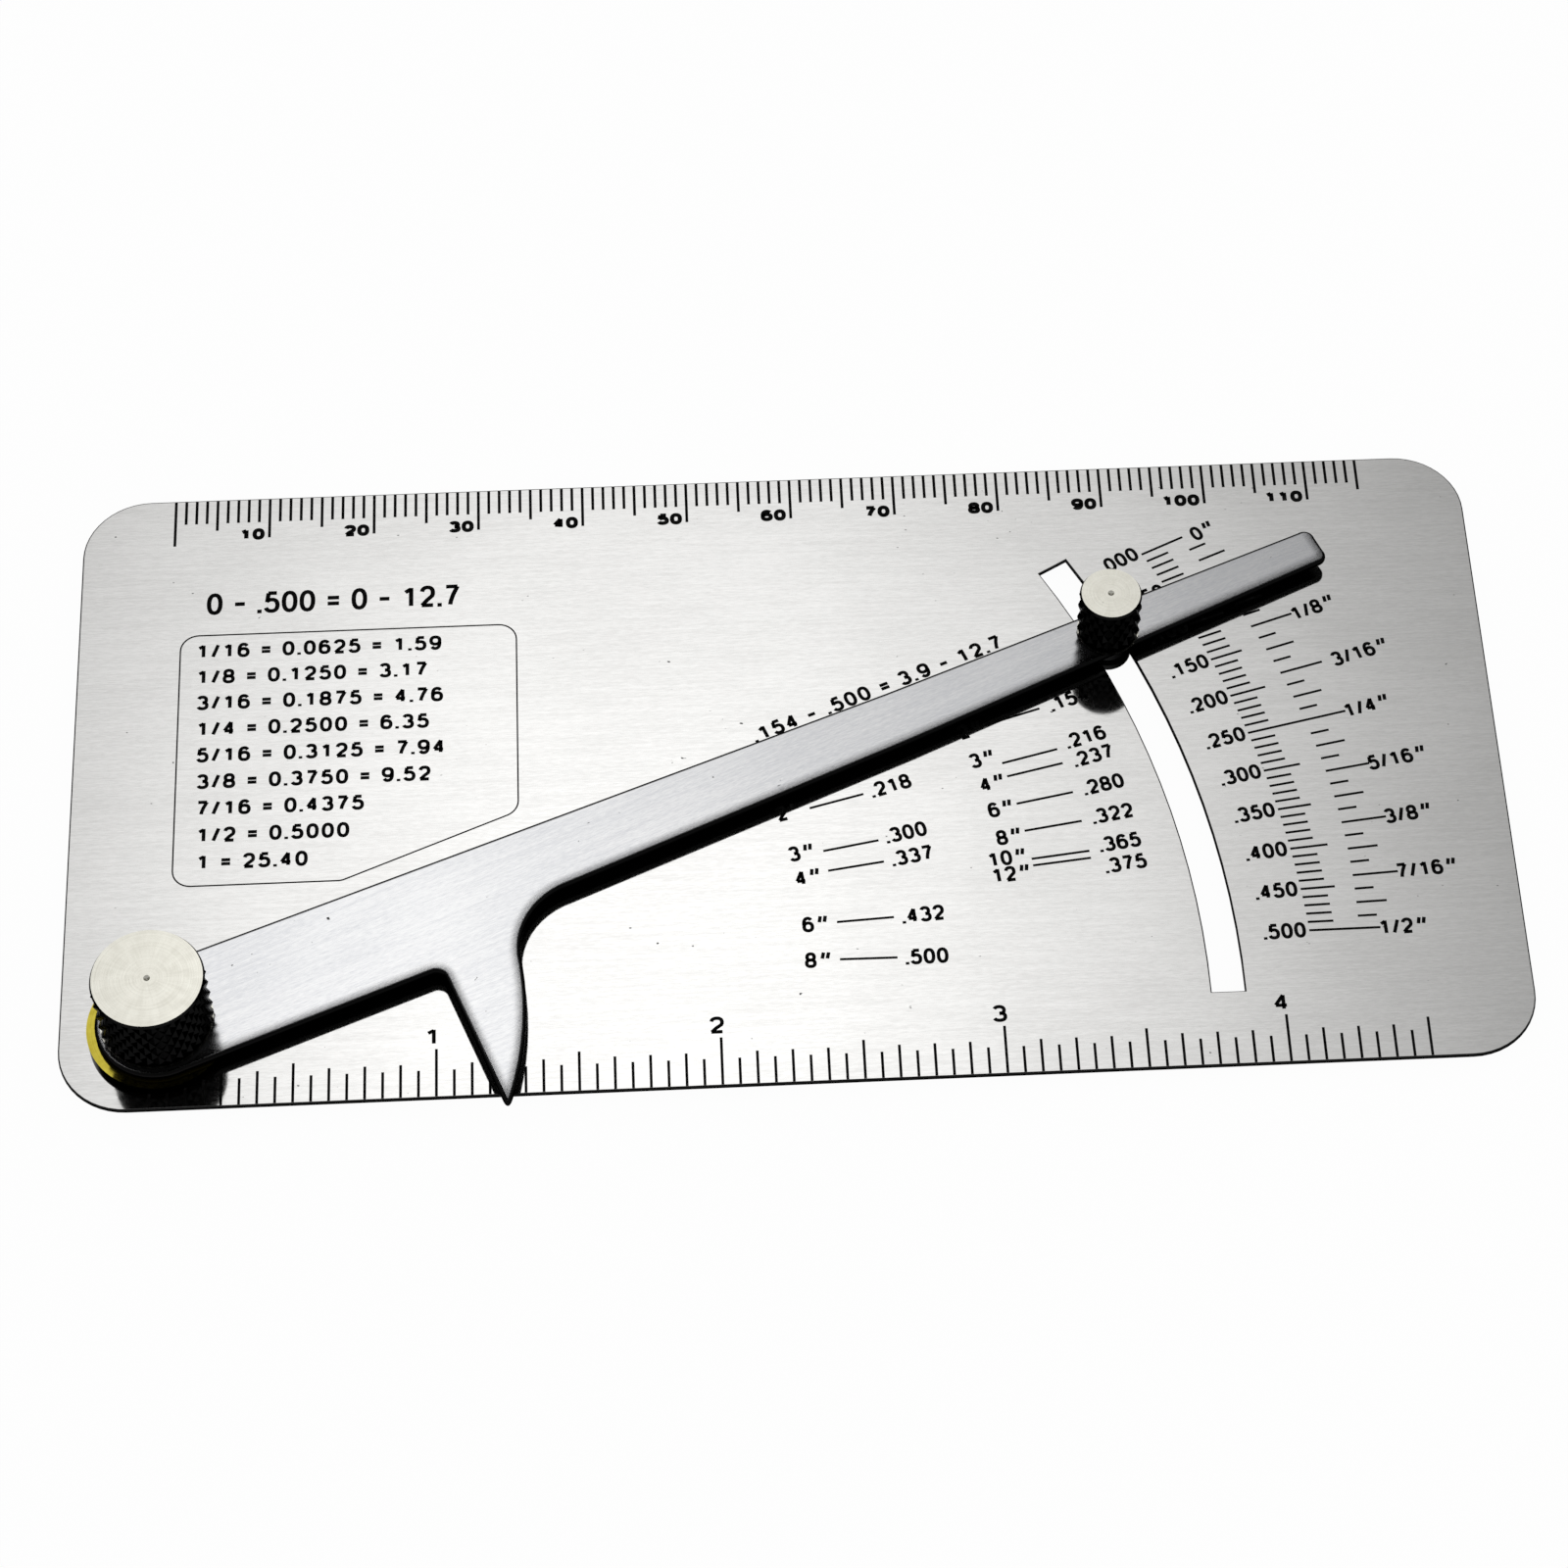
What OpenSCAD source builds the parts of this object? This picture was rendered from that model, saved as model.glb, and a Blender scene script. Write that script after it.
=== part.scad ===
// Pit depth gauge: a flat steel rule with a pointer arm that turns on it.
// A curved spike on the arm reaches past the rule's lower edge into a pit, and the
// arm's long end reads the depth on the rule. One knurled nut holds the arm on its
// pivot, a second one clamps it along an arc slot.
// Lengths are in millimetres. The origin is on the pivot axis, at the outer face of
// the pivot screw's head, with +X along the rule and +Z out of its printed face.

/* [Plate] */
// Length of the plate along X
plate_length = 132.6; // [124:0.1:150]
// Height of the plate along Y
plate_height = 66.7; // [60:0.1:80]
// Thickness of the plate
plate_thickness = 0.5; // [0.4:0.1:1.5]
// Radius of the plate's corners
plate_corner_r = 6.35; // [3:0.05:10]
// Distance from the plate's left edge to the pivot axis
pivot_inset = 9; // [8:0.1:14]
// Height of the pivot axis above the plate's lower edge
pivot_rise = 7.94; // [7:0.02:12]

/* [Slot] */
// Radius of the slot's middle, struck from the pivot axis
slot_r = 95.9; // [90:0.1:98]
// Width of the slot
slot_width = 3; // [2.8:0.1:3.8]
// Angle of the slot's lower end above the plate's length
slot_low_angle = -0.2; // [-2:0.1:2]
// Angle of the slot's upper end above the plate's length
slot_high_angle = 29.5; // [26:0.1:31]

/* [Arm] */
// Angle of the arm's middle line above the plate's length
arm_angle = 23.5; // [2:0.5:28]
// Distance from the pivot axis to the arm's far end
arm_length = 118.9; // [108:0.1:122]
// Thickness of the arm
arm_thickness = 0.8; // [0.6:0.1:2]
// Radius of the arm's round end at the pivot
arm_hub_r = 5.6; // [4.8:0.1:6]
// Height of the reading edge above the middle line at the far end
tip_above = 2.2; // [1.4:0.05:2.4]
// Drop of the lower edge below the middle line at the far end
tip_below = 1.8; // [1.4:0.05:2.4]
// Drop of the lower edge below the middle line beside the spike
beam_below = 3.1; // [2.9:0.05:4]
// Distance from the pivot axis to the slight bend in both edges
bend_at = 74; // [60:1:90]
// Height of the upper edge above the middle line at the bend
bend_above = 3; // [2.4:0.05:3.6]
// Drop of the lower edge below the middle line at the bend
bend_below = 2.9; // [2.4:0.05:3.1]
// Radius of the corners at the far end
arm_corner_r = 1; // [0.4:0.1:1.2]

/* [Spike] */
// Distance from the pivot axis to the top of the spike's straight side
spike_offset = 24.85; // [22:0.05:27]
// Lean of the spike's straight side towards the pivot, in degrees
spike_lean = 1.9; // [0:0.1:4]
// Radius of the spike's curved side, struck from the pivot axis
spike_r = 32.8; // [31.5:0.1:35]
// Drop of the wide part's lower edge below the middle line at the spike
shoulder_below = 6.15; // [5.7:0.05:7]
// Radius of the hollow between the spike and the beam
spike_fillet_r = 7; // [4:0.1:8]
// Radius of the hollow between the spike and the wide part
shoulder_fillet_r = 1; // [0.4:0.1:2]

/* [Screws and washers] */
// Diameter of the pivot screw
pivot_screw_d = 4; // [3:0.1:5]
// Diameter of the pivot screw's head
pivot_head_d = 8; // [7:0.1:12]
// Diameter of the lock screw
lock_screw_d = 2.5; // [2:0.1:2.6]
// Diameter of the lock screw's head
lock_head_d = 4.6; // [4.2:0.1:8]
// Thickness of the screw heads behind the plate
head_thickness = 1; // [0.6:0.1:2]
// Edge bevel of the screw heads
head_bevel = 0.25; // [0.1:0.05:0.5]
// Diameter of the brass washer under the arm
washer_d = 12.8; // [11:0.1:14]
// Thickness of the brass washer and of the lock screw's spacer
washer_thickness = 1; // [0.5:0.1:1.5]
// Diameter of the spacer on the lock screw
spacer_d = 4.2; // [4:0.1:6]

/* [Knurled nuts] */
// Diameter of the pivot nut over its knurl
pivot_knob_d = 10.3; // [8:0.1:12]
// Height of the pivot nut
pivot_knob_height = 7.5; // [5:0.1:10]
// Number of knurl points round the pivot nut
pivot_knob_points = 30; // [20:1:40]
// Diameter of the lock nut over its knurl
lock_knob_d = 6; // [5:0.1:8]
// Height of the lock nut
lock_knob_height = 6.2; // [4:0.1:8]
// Number of knurl points round the lock nut
lock_knob_points = 18; // [14:1:26]
// Depth of the knurl
knurl_depth = 0.28; // [0.15:0.01:0.4]
// Height of the plain bevelled rim above and below the knurl
rim_height = 0.3; // [0.2:0.05:0.6]
// Width of the bevel on that rim
rim_bevel = 0.15; // [0.05:0.01:0.25]
// Metal left above a nut's screw hole
nut_roof = 1.4; // [0.8:0.1:2]
// Diameter of the lathe centre mark in a nut's top
centre_mark_d = 0.6; // [0.3:0.05:1]

/* [Clearances] */
// Gap between faces that slide on each other
face_gap = 0.05; // [0.03:0.01:0.1]
// Radial clearance of a screw in a hole
bore_clearance = 0.05; // [0.02:0.01:0.1]
// Gap between a screw's end and the bottom of its nut's hole
screw_end_gap = 0.4; // [0.2:0.1:1]

/* [Hidden] */
$fn = 96;

// Heights of the stack, from the screw heads up
plate_z = head_thickness;
plate_top = plate_z + plate_thickness;
arm_z = plate_top + face_gap + washer_thickness;
arm_top = arm_z + arm_thickness;
knob_z = arm_top + face_gap;

// Length that cutting tools run past the faces they cut
cut_over = 1;
// Length by which joined flat shapes lap over each other
lap = 0.5;
// Depth at which a straight edge runs into the round that it meets
seam = 0.02;
// Height by which the knurl runs into the rims above and below it
knurl_lap = rim_height / 3;

// Lean of the upper edge towards the middle line, tangent to the round end
edge_lean = asin(arm_hub_r / norm([bend_at, bend_above])) - atan2(bend_above, bend_at);
edge_out = [sin(edge_lean), cos(edge_lean)];
// Lean of the reading edge, which is the upper edge beyond the bend
reading_lean = atan2(bend_above - tip_above, arm_length - bend_at);
reading_out = [sin(reading_lean), cos(reading_lean)];
reading_reach = reading_out * [arm_length, tip_above];
// Lean of the wide part's lower edge away from the middle line, tangent to the round end
shoulder_lean = acos(arm_hub_r / norm([spike_offset, shoulder_below]))
              - atan2(spike_offset, shoulder_below);
shoulder_out = [-sin(shoulder_lean), -cos(shoulder_lean)];
// Lean of the beam's lower edge towards the middle line
beam_lean = atan2(beam_below - bend_below, bend_at - spike_r - spike_fillet_r);
beam_along = [cos(beam_lean), sin(beam_lean)];
beam_out = [sin(beam_lean), -cos(beam_lean)];
beam_reach = beam_out * [bend_at, -bend_below];
// Lean of the lower edge beyond the bend
tail_lean = atan2(bend_below - tip_below, arm_length - bend_at);
tail_out = [sin(tail_lean), -cos(tail_lean)];
tail_reach = tail_out * [arm_length, -tip_below];

// Centre of the hollow between spike and beam, which touches both
hollow_reach = beam_reach + spike_fillet_r;
hollow_run = sqrt(pow(spike_r + spike_fillet_r, 2) - pow(hollow_reach, 2));
hollow_centre = beam_out * hollow_reach + beam_along * hollow_run;
hollow_on_beam = hollow_centre - beam_out * spike_fillet_r;
hollow_on_spike = hollow_centre * spike_r / (spike_r + spike_fillet_r);

// The spike's straight side: where it starts, and its direction away from the spike
side_top = [spike_offset, -shoulder_below];
side_out = [-cos(spike_lean), sin(spike_lean)];
side_low_x = spike_offset + tan(spike_lean) * (hollow_on_spike.y + shoulder_below);

// Centre of the hollow between spike and wide part, which touches both
notch_reach = (arm_hub_r + shoulder_fillet_r) / cos(shoulder_lean);
notch_x = (cos(spike_lean) * spike_offset + sin(spike_lean) * (shoulder_below - notch_reach)
           - shoulder_fillet_r) / (cos(spike_lean) + sin(spike_lean) * tan(shoulder_lean));
notch_centre = [notch_x, -notch_reach - notch_x * tan(shoulder_lean)];
notch_on_edge = notch_centre - shoulder_out * shoulder_fillet_r;
notch_on_side = notch_centre - side_out * shoulder_fillet_r;

// Centres of the far end's rounded corners
corner_x = arm_length - arm_corner_r;
upper_corner = [corner_x, (reading_reach - arm_corner_r - corner_x * reading_out.x) / reading_out.y];
lower_corner = [corner_x, (tail_reach - arm_corner_r - corner_x * tail_out.x) / tail_out.y];

// Half angle between the knurl's crossing rows and the nut's axis
knurl_angle = 30;

module rounded_plate_2d() {
    corner_span = [plate_length - 2 * plate_corner_r, plate_height - 2 * plate_corner_r];
    translate([-pivot_inset, -pivot_rise]) {
        translate([plate_corner_r, 0]) square([corner_span.x, plate_height]);
        translate([0, plate_corner_r]) square([plate_length, corner_span.y]);
        for (x = [0, corner_span.x], y = [0, corner_span.y])
            translate([x + plate_corner_r, y + plate_corner_r]) circle(r = plate_corner_r);
    }
}

module arc_slot_2d() {
    reach = 2 * slot_r;
    intersection() {
        difference() {
            circle(r = slot_r + slot_width / 2);
            circle(r = slot_r - slot_width / 2);
        }
        polygon([[0, 0],
                 reach * [cos(slot_low_angle), sin(slot_low_angle)],
                 reach * [cos(slot_high_angle), sin(slot_high_angle)]]);
    }
}

module spike_2d() {
    intersection() {
        circle(r = spike_r);
        translate(side_top)
            rotate(-spike_lean)
                translate([0, -spike_r])
                    square([spike_r, spike_r + shoulder_below + hollow_on_spike.y + lap]);
    }
}

module shoulder_hollow_2d() {
    difference() {
        polygon([notch_on_edge,
                 notch_centre,
                 notch_on_side,
                 notch_on_side + [lap, 0],
                 side_top + [lap, lap],
                 notch_on_edge + [0, lap]]);
        translate(notch_centre) circle(r = shoulder_fillet_r + seam);
    }
}

// A flat shape brought to the arm's thickness
module slab() {
    linear_extrude(arm_thickness) children();
}

// A round cut right through the arm
module arm_cut(centre, r) {
    translate([centre.x, centre.y, -cut_over])
        cylinder(h = arm_thickness + 2 * cut_over, r = r);
}

// The arm with its middle line along +X and its lower face on the XY plane
module flat_arm() {
    difference() {
        union() {
            slab() circle(r = arm_hub_r);
            slab() polygon([edge_out * (arm_hub_r - seam),
                            [bend_at, bend_above],
                            upper_corner + reading_out * (arm_corner_r - seam),
                            [arm_length - seam, upper_corner.y],
                            [arm_length - seam, lower_corner.y],
                            lower_corner + tail_out * (arm_corner_r - seam),
                            [bend_at, -bend_below],
                            hollow_on_beam,
                            hollow_centre,
                            hollow_on_spike,
                            [side_low_x, hollow_on_spike.y],
                            side_top,
                            shoulder_out * (arm_hub_r - seam)]);
            for (centre = [upper_corner, lower_corner])
                slab() translate(centre) circle(r = arm_corner_r);
            slab() spike_2d();
            slab() shoulder_hollow_2d();
        }
        arm_cut(hollow_centre, spike_fillet_r + seam);
        arm_cut([0, 0], pivot_screw_d / 2 + bore_clearance);
        arm_cut([slot_r, 0], lock_screw_d / 2 + bore_clearance);
    }
}

// A ring that stands on the XY plane
module ring(outer_d, inner_d, thickness) {
    linear_extrude(thickness)
        difference() {
            circle(d = outer_d);
            circle(d = inner_d);
        }
}

// A screw that stands on its head
module headed_screw(shank_d, head_d, head_height, length) {
    cylinder(h = head_bevel, d1 = head_d - 2 * head_bevel, d2 = head_d);
    translate([0, 0, head_bevel]) cylinder(h = head_height - head_bevel, d = head_d);
    cylinder(h = length, d = shank_d);
}

// A band of diamond knurl: four-sided points in staggered rows. Each point rises from
// four hollows, two in its own row and one each in the rows above and below it.
module diamond_knurl(crest_r, end_r, height, points) {
    count = round(points);
    root_r = crest_r - knurl_depth;
    row_pitch = PI * crest_r / count / tan(knurl_angle);
    rows = max(2, round(height / row_pitch));
    turn = 360 / count;
    function at(radius, steps, row) =
        [radius * cos(steps * turn), radius * sin(steps * turn), row * height / rows];
    function stagger(row) = (row % 2) / 2;
    function crest_radius(row) = (row == 0 || row == rows) ? end_r : crest_r;
    function hollow(row, i) = row * count + (i + count) % count;
    function crest(row, i) = (rows + 1 + row) * count + (i + count) % count;
    hollows = [for (row = [0:rows], i = [0:count - 1]) at(root_r, i + stagger(row), row)];
    crests = [for (row = [0:rows], i = [0:count - 1])
        at(crest_radius(row), i + stagger(row) + 0.5, row)];
    upper_sides = [for (row = [0:rows - 1], i = [0:count - 1], side = [0, 1])
        side == 0
            ? [crest(row, i), hollow(row + 1, i + row % 2), hollow(row, i + 1)]
            : [crest(row, i), hollow(row, i), hollow(row + 1, i + row % 2)]];
    lower_sides = [for (row = [1:rows], i = [0:count - 1], side = [0, 1])
        side == 0
            ? [crest(row, i), hollow(row, i + 1), hollow(row - 1, i + row % 2)]
            : [crest(row, i), hollow(row - 1, i + row % 2), hollow(row, i)]];
    floor_face = [for (i = [0:count - 1], side = [0, 1]) side == 0 ? hollow(0, i) : crest(0, i)];
    roof_face = [for (i = [count - 1:-1:0], side = [0, 1])
        side == 0 ? crest(rows, i) : hollow(rows, i)];
    polyhedron(concat(hollows, crests), concat(upper_sides, lower_sides, [floor_face, roof_face]));
}

// A thumb nut that stands on its open end, with a plain turned top
module knurled_nut(d, height, points, screw_d) {
    rim_r = d / 2 - knurl_depth / 3;
    knurl_height = height - 2 * rim_height + 2 * knurl_lap;
    difference() {
        union() {
            cylinder(h = rim_height, r1 = rim_r - rim_bevel, r2 = rim_r);
            translate([0, 0, rim_height - knurl_lap])
                diamond_knurl(d / 2, rim_r - rim_bevel, knurl_height, points);
            translate([0, 0, height - rim_height])
                cylinder(h = rim_height, r1 = rim_r, r2 = rim_r - rim_bevel);
        }
        translate([0, 0, -cut_over])
            cylinder(h = height - nut_roof + cut_over, d = screw_d + 2 * bore_clearance);
        translate([0, 0, height - centre_mark_d / 2])
            cylinder(h = centre_mark_d, d1 = 0, d2 = 2 * centre_mark_d);
    }
}

// Puts its children on the lock screw's axis
module at_lock() {
    rotate([0, 0, arm_angle]) translate([slot_r, 0, 0]) children();
}

module gauge_plate() {
    color("silver")
        translate([0, 0, plate_z])
            linear_extrude(plate_thickness)
                difference() {
                    rounded_plate_2d();
                    arc_slot_2d();
                    circle(d = pivot_screw_d + 2 * bore_clearance);
                }
}

module pivot_screw() {
    color("dimgray")
        headed_screw(pivot_screw_d, pivot_head_d, head_thickness,
                     knob_z + pivot_knob_height - nut_roof - screw_end_gap);
}

module brass_washer() {
    color("goldenrod")
        translate([0, 0, plate_top])
            ring(washer_d, pivot_screw_d + 2 * bore_clearance, washer_thickness);
}

module pointer_arm() {
    color("lightslategray")
        translate([0, 0, arm_z])
            rotate([0, 0, arm_angle])
                flat_arm();
}

module pivot_knob() {
    color("gainsboro")
        translate([0, 0, knob_z])
            knurled_nut(pivot_knob_d, pivot_knob_height, pivot_knob_points, pivot_screw_d);
}

module lock_screw() {
    color("dimgray")
        at_lock()
            headed_screw(lock_screw_d, lock_head_d, head_thickness - face_gap,
                         knob_z + lock_knob_height - nut_roof - screw_end_gap);
}

module lock_spacer() {
    color("dimgray")
        at_lock()
            translate([0, 0, plate_top + face_gap])
                ring(spacer_d, lock_screw_d + 2 * bore_clearance, washer_thickness);
}

module lock_knob() {
    color("gainsboro")
        at_lock()
            translate([0, 0, knob_z])
                knurled_nut(lock_knob_d, lock_knob_height, lock_knob_points, lock_screw_d);
}

gauge_plate();
pivot_screw();
brass_washer();
pointer_arm();
pivot_knob();
lock_screw();
lock_spacer();
lock_knob();
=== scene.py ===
import logging
import math
from dataclasses import dataclass, field, replace
from enum import Enum

import bmesh
import bpy
from mathutils import Matrix, Vector


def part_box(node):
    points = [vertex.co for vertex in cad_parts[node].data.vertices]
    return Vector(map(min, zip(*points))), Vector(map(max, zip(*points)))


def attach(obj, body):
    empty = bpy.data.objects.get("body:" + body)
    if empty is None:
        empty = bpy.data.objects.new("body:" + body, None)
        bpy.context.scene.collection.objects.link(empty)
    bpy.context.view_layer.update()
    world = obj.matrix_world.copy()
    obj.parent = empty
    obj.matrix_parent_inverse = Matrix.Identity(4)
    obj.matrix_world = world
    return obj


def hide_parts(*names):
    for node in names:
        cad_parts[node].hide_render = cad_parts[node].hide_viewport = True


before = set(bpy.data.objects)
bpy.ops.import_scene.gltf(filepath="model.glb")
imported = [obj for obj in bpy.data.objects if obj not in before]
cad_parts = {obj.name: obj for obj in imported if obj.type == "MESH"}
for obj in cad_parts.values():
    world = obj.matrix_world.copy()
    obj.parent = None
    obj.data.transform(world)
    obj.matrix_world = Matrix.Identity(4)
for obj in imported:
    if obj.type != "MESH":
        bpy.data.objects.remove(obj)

LOG = logging.getLogger("pit_depth_gauge")
MM = 0.001
INCH_IN_MM = 25.4

Colour = tuple[float, float, float]
Socket = bpy.types.NodeSocket


class Lay(Enum):
    """Direction in which a steel face was brushed, in degrees about the gauge's Z axis."""

    ALONG_RULE = 0.0
    ALONG_ARM = 23.5


class Anchor(Enum):
    """Share of a printed number's width that lies before its anchor point."""

    START = 0.0
    MIDDLE = 0.5
    END = 1.0


@dataclass(frozen=True)
class Lettering:
    """Proportions of one style of printed figure, in millimetres."""

    height: float
    width: float
    weight: float
    gap: float


class Style(Enum):
    """Figure styles on the plate."""

    MILLIMETRES = Lettering(height=1.36, width=1.18, weight=0.42, gap=0.08)
    INCHES = Lettering(height=1.75, width=1.35, weight=0.34, gap=0.2)
    DEPTH = Lettering(height=1.65, width=1.08, weight=0.33, gap=0.12)
    TABLE = Lettering(height=1.65, width=1.15, weight=0.34, gap=0.25)
    RANGE = Lettering(height=2.5, width=1.5, weight=0.42, gap=0.18)


Stroke = list[tuple[float, float]]


def arc(x: float, y: float, across: float, up: float, start: float = 0.0, end: float = 360.0) -> Stroke:
    """Draws part of a slightly squared oval.

    Args:
        x: middle of the oval across the figure.
        y: middle of the oval up the figure.
        across: half its width.
        up: half its height.
        start: angle of the first point, in degrees.
        end: angle of the last point; it may lie before the first.

    Returns:
        The points in order.
    """
    fewest_steps, step_degrees, square = 4, 18, 0.86
    steps = max(fewest_steps, round(abs(end - start) / step_degrees))
    turns = [math.radians(start + (end - start) * step / steps) for step in range(steps + 1)]
    return [(x + across * math.copysign(abs(math.cos(t)) ** square, math.cos(t)),
             y + up * math.copysign(abs(math.sin(t)) ** square, math.sin(t))) for t in turns]


class Figures:
    """Plain upright figures, drawn as strokes in a box that is one unit wide and one tall."""

    SHARES = {".": 0.3, "/": 0.7, "-": 0.9, " ": 0.4}

    def share(self, figure: str) -> float:
        """Returns a figure's width as a share of a digit's."""
        return self.SHARES.get(figure, 1.0)

    def strokes(self, figure: str) -> list[Stroke]:
        """Returns the strokes of one figure."""
        return {
            "0": [arc(0.5, 0.5, 0.5, 0.5)],
            "1": [[(0.62, 0.0), (0.62, 1.0)], [(0.12, 0.76), (0.62, 0.94)]],
            "2": [arc(0.5, 0.7, 0.48, 0.3, 170, -35) + [(0.45, 0.28), (0.04, 0.0)], [(0.0, 0.0), (1.0, 0.0)]],
            "3": [arc(0.48, 0.745, 0.44, 0.255, 160, -90), arc(0.5, 0.265, 0.5, 0.265, 90, -160)],
            "4": [[(0.72, 0.0), (0.72, 1.0)], [(0.72, 1.0), (0.0, 0.28)], [(0.0, 0.26), (1.0, 0.26)]],
            "5": [[(0.92, 1.0), (0.17, 1.0)], [(0.2, 1.0), (0.09, 0.5)],
                  arc(0.48, 0.32, 0.52, 0.32, 145, -160)],
            "6": [arc(0.5, 0.31, 0.5, 0.31), arc(0.5, 0.5, 0.5, 0.5, 40, 195)],
            "7": [[(0.0, 1.0), (1.0, 1.0)], [(1.0, 1.0), (0.62, 0.55), (0.42, 0.2), (0.36, 0.0)]],
            "8": [arc(0.5, 0.75, 0.43, 0.25), arc(0.5, 0.26, 0.5, 0.26)],
            "9": [arc(0.5, 0.69, 0.5, 0.31), arc(0.5, 0.5, 0.5, 0.5, 220, 375)],
            ".": [[(0.5, -0.1), (0.5, 0.1)]],
            "/": [[(0.0, 0.0), (1.0, 1.0)]],
            '"': [[(0.3, 0.6), (0.48, 1.08)], [(0.92, 0.6), (1.1, 1.08)]],
            "=": [[(0.0, 0.3), (1.0, 0.3)], [(0.0, 0.62), (1.0, 0.62)]],
            "-": [[(0.0, 0.45), (1.0, 0.45)]],
            " ": [],
        }[figure]


class Shader:
    """Adds and links the nodes of one shader tree."""

    def __init__(self, tree: bpy.types.NodeTree) -> None:
        """Keeps the tree that the nodes go to."""
        self.tree = tree

    def add(self, kind: str, **settings: object) -> bpy.types.Node:
        """Adds one node.

        Args:
            kind: Blender's name of the node type.
            settings: values of the node's own properties.

        Returns:
            The new node.
        """
        node = self.tree.nodes.new(kind)
        for name, value in settings.items():
            setattr(node, name, value)
        return node

    def put(self, socket: Socket, value: object) -> None:
        """Links an input from another socket, or sets its plain value.

        Args:
            socket: the input.
            value: a socket to link from, or a plain value.
        """
        if isinstance(value, bpy.types.NodeSocket):
            self.tree.links.new(value, socket)
        else:
            socket.default_value = value

    def feed(self, node: bpy.types.Node, **inputs: object) -> bpy.types.Node:
        """Sets or links a node's inputs, named with _ for each space.

        Args:
            node: the node to feed.
            inputs: a socket to link from, or a plain value, for each input.

        Returns:
            The same node.
        """
        for name, value in inputs.items():
            self.put(node.inputs[name.replace("_", " ")], value)
        return node

    def maths(self, operation: str, first: object, second: object = 0.0) -> Socket:
        """Works out one value from two.

        Args:
            operation: Blender's name of the operation.
            first: a socket or a number.
            second: a socket or a number.

        Returns:
            The socket that holds the result.
        """
        node = self.add("ShaderNodeMath", operation=operation)
        for socket, value in zip(node.inputs, (first, second)):
            self.put(socket, value)
        return node.outputs[0]

    def weigh(self, *shares: tuple[Socket, float]) -> Socket:
        """Adds up values by their weights.

        Args:
            shares: each value with its weight.

        Returns:
            The socket of the sum.
        """
        first, *others = (self.maths("MULTIPLY", value, weight) for value, weight in shares)
        for other in others:
            first = self.maths("ADD", first, other)
        return first

    def squares(self, first: Socket, second: Socket) -> Socket:
        """Returns the socket of the sum of two values' squares."""
        return self.maths("ADD", self.maths("MULTIPLY", first, first), self.maths("MULTIPLY", second, second))

    def split(self, vector: Socket) -> bpy.types.NodeOutputs:
        """Splits a vector.

        Args:
            vector: the vector's socket.

        Returns:
            The sockets of its X, Y and Z.
        """
        node = self.add("ShaderNodeSeparateXYZ")
        self.put(node.inputs[0], vector)
        return node.outputs

    def spread(self, value: Socket, low: float, high: float, to_low: float, to_high: float) -> Socket:
        """Maps a value smoothly from one range to another.

        Args:
            value: the value to map.
            low: value that gives to_low.
            high: value that gives to_high.
            to_low: result at low.
            to_high: result at high.

        Returns:
            The socket that holds the result.
        """
        node = self.add("ShaderNodeMapRange", interpolation_type="SMOOTHSTEP")
        self.feed(node, Value=value, From_Min=low, From_Max=high, To_Min=to_low, To_Max=to_high)
        return node.outputs["Result"]

    def blend(self, share: Socket, first: object, second: object) -> Socket:
        """Mixes two colours.

        Args:
            share: share of the second colour.
            first: a colour socket or a colour.
            second: a colour socket or a colour.

        Returns:
            The socket of the mixed colour.
        """
        node = self.add("ShaderNodeMix", data_type="RGBA")
        self.put(node.inputs[0], share)
        for socket, value in zip(node.inputs[6:8], (first, second)):
            self.put(socket, value if isinstance(value, bpy.types.NodeSocket) else (*value, 1.0))
        return node.outputs[2]

    def mix(self, share: Socket, first: bpy.types.Node, second: bpy.types.Node) -> Socket:
        """Mixes two surfaces or backgrounds.

        Args:
            share: share of the second one.
            first: node of the first one.
            second: node of the second one.

        Returns:
            The socket of the mix.
        """
        node = self.add("ShaderNodeMixShader")
        for socket, value in zip(node.inputs, (share, first.outputs[0], second.outputs[0])):
            self.put(socket, value)
        return node.outputs[0]

    def noise(self, place: Socket, stretch: Colour, detail: float = 2.0) -> Socket:
        """Reads soft noise at a place that is stretched first.

        Args:
            place: coordinates in millimetres.
            stretch: grains per millimetre along X, Y and Z.
            detail: number of finer layers.

        Returns:
            The socket of the noise, from 0 to 1.
        """
        scale = self.add("ShaderNodeVectorMath", operation="MULTIPLY")
        self.put(scale.inputs[0], place)
        self.put(scale.inputs[1], stretch)
        node = self.add("ShaderNodeTexNoise", noise_dimensions="3D")
        self.feed(node, Vector=scale.outputs[0], Scale=1.0, Detail=detail)
        return node.outputs[0]

    def group(self, tree: bpy.types.NodeTree, place: Socket) -> bpy.types.Node:
        """Adds a shared effect.

        Args:
            tree: the effect's node group.
            place: coordinates in millimetres that the effect reads.

        Returns:
            The group node.
        """
        return self.feed(self.add("ShaderNodeGroup", node_tree=tree), Place=place)


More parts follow.
